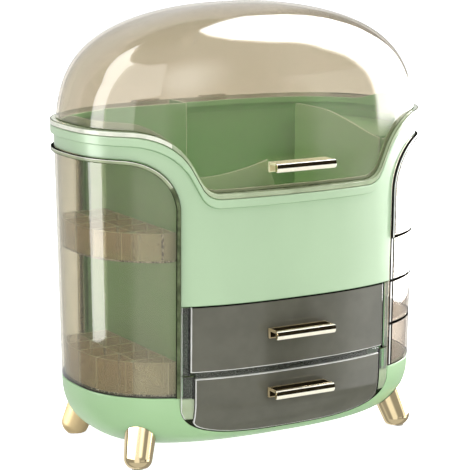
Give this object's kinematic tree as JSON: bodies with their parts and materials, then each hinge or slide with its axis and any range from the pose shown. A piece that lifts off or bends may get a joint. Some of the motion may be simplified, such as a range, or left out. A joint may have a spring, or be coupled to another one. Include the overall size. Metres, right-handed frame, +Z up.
{
  "type": "makeup organizer",
  "caption": "Oval cosmetics box on splayed feet: hinged dome lid, top tray, two drawers, a side door with lipstick racks and swing-out side trays.",
  "frame": {"origin": "on the floor, at the middle of the object's box, handles and hinges included", "axes": "+Z up, -Y the front with the drawers and the handles, -X the side with the door, +X the side with the swing-out trays"},
  "size_m": [0.3088, 0.2111, 0.3537],
  "materials": {
    "green": "glossy moulded",
    "green_inner": "satin moulded",
    "beige_clear": "clear tinted",
    "rack_clear": "clear tinted",
    "smoke_clear": "clear smoked",
    "clear": "clear",
    "pale_gold": "polished plating",
    "steel": "plain",
    "rubber": "matte"
  },
  "bodies": {
    "case": {"base_bowl": "green", "base_deck": "green", "core_wall_left": "green_inner", "core_wall_right": "green_inner", "drawer_case": "smoke_clear", "drawer_shelf": "clear", "end_deck_left": "green_inner", "end_deck_right": "green_inner", "foot_front_left": "pale_gold", "foot_front_right": "pale_gold", "foot_pad_front_left": "rubber", "foot_pad_front_right": "rubber", "foot_pad_rear_left": "rubber", "foot_pad_rear_right": "rubber", "foot_rear_left": "pale_gold", "foot_rear_right": "pale_gold", "foot_screw_front_left": "steel", "foot_screw_front_right": "steel", "foot_screw_rear_left": "steel", "foot_screw_rear_right": "steel", "front_trim_left": "clear", "front_trim_right": "clear", "hinge_bracket_left": "green", "hinge_bracket_right": "green", "hinge_pin_left": "steel", "hinge_pin_right": "steel", "lipstick_rack_lower": "rack_clear", "lipstick_rack_upper": "rack_clear", "pivot_rod_left": "steel", "pivot_rod_right": "steel", "tray_divider_front": "green", "tray_divider_rear": "green", "tray_divider_right": "green", "tray_floor": "green_inner", "upper_shell": "green"},
    "lid": {"lid_dome": "beige_clear", "lid_handle": "pale_gold", "lid_handle_screw_left": "steel", "lid_handle_screw_right": "steel", "hinge_leaf_left": "beige_clear", "hinge_leaf_right": "beige_clear"},
    "upper_drawer": {"upper_drawer": "smoke_clear", "upper_drawer_handle": "pale_gold", "upper_drawer_handle_screw_left": "steel", "upper_drawer_handle_screw_right": "steel"},
    "lower_drawer": {"lower_drawer": "smoke_clear", "lower_drawer_handle": "pale_gold", "lower_drawer_handle_screw_left": "steel", "lower_drawer_handle_screw_right": "steel"},
    "left_door": {"left_door": "beige_clear"},
    "right_tray_1": {"right_tray_1": "beige_clear"},
    "right_tray_2": {"right_tray_2": "beige_clear"},
    "right_tray_3": {"right_tray_3": "rack_clear"},
    "right_tray_4": {"right_tray_4": "rack_clear"}
  },
  "joints": [
    {"name": "lid_hinge", "type": "hinge", "parent": "case", "child": "lid", "pos_m": [0, 0.10245, 0.2616], "axis": [-1, 0, 0], "range_deg": [0, 95]},
    {"name": "upper_drawer_slide", "type": "slide", "parent": "case", "child": "upper_drawer", "axis": [0, -1, 0], "range_m": [0, 0.115]},
    {"name": "lower_drawer_slide", "type": "slide", "parent": "case", "child": "lower_drawer", "axis": [0, -1, 0], "range_m": [0, 0.105]},
    {"name": "left_door_hinge", "type": "hinge", "parent": "case", "child": "left_door", "pos_m": [-0.1089, 0.06985, 0.15], "axis": [0, 0, -1], "range_deg": [0, 90]},
    {"name": "right_tray_1_swing", "type": "hinge", "parent": "case", "child": "right_tray_1", "pos_m": [0.1089, 0.06985, 0.2047], "axis": [0, 0, 1], "range_deg": [0, 90]},
    {"name": "right_tray_2_swing", "type": "hinge", "parent": "case", "child": "right_tray_2", "pos_m": [0.1089, 0.06985, 0.1477], "axis": [0, 0, 1], "range_deg": [0, 90]},
    {"name": "right_tray_3_swing", "type": "hinge", "parent": "case", "child": "right_tray_3", "pos_m": [0.1089, 0.06985, 0.112], "axis": [0, 0, 1], "range_deg": [0, 90]},
    {"name": "right_tray_4_swing", "type": "hinge", "parent": "case", "child": "right_tray_4", "pos_m": [0.1089, 0.06985, 0.0764], "axis": [0, 0, 1], "range_deg": [0, 90]}
  ]
}
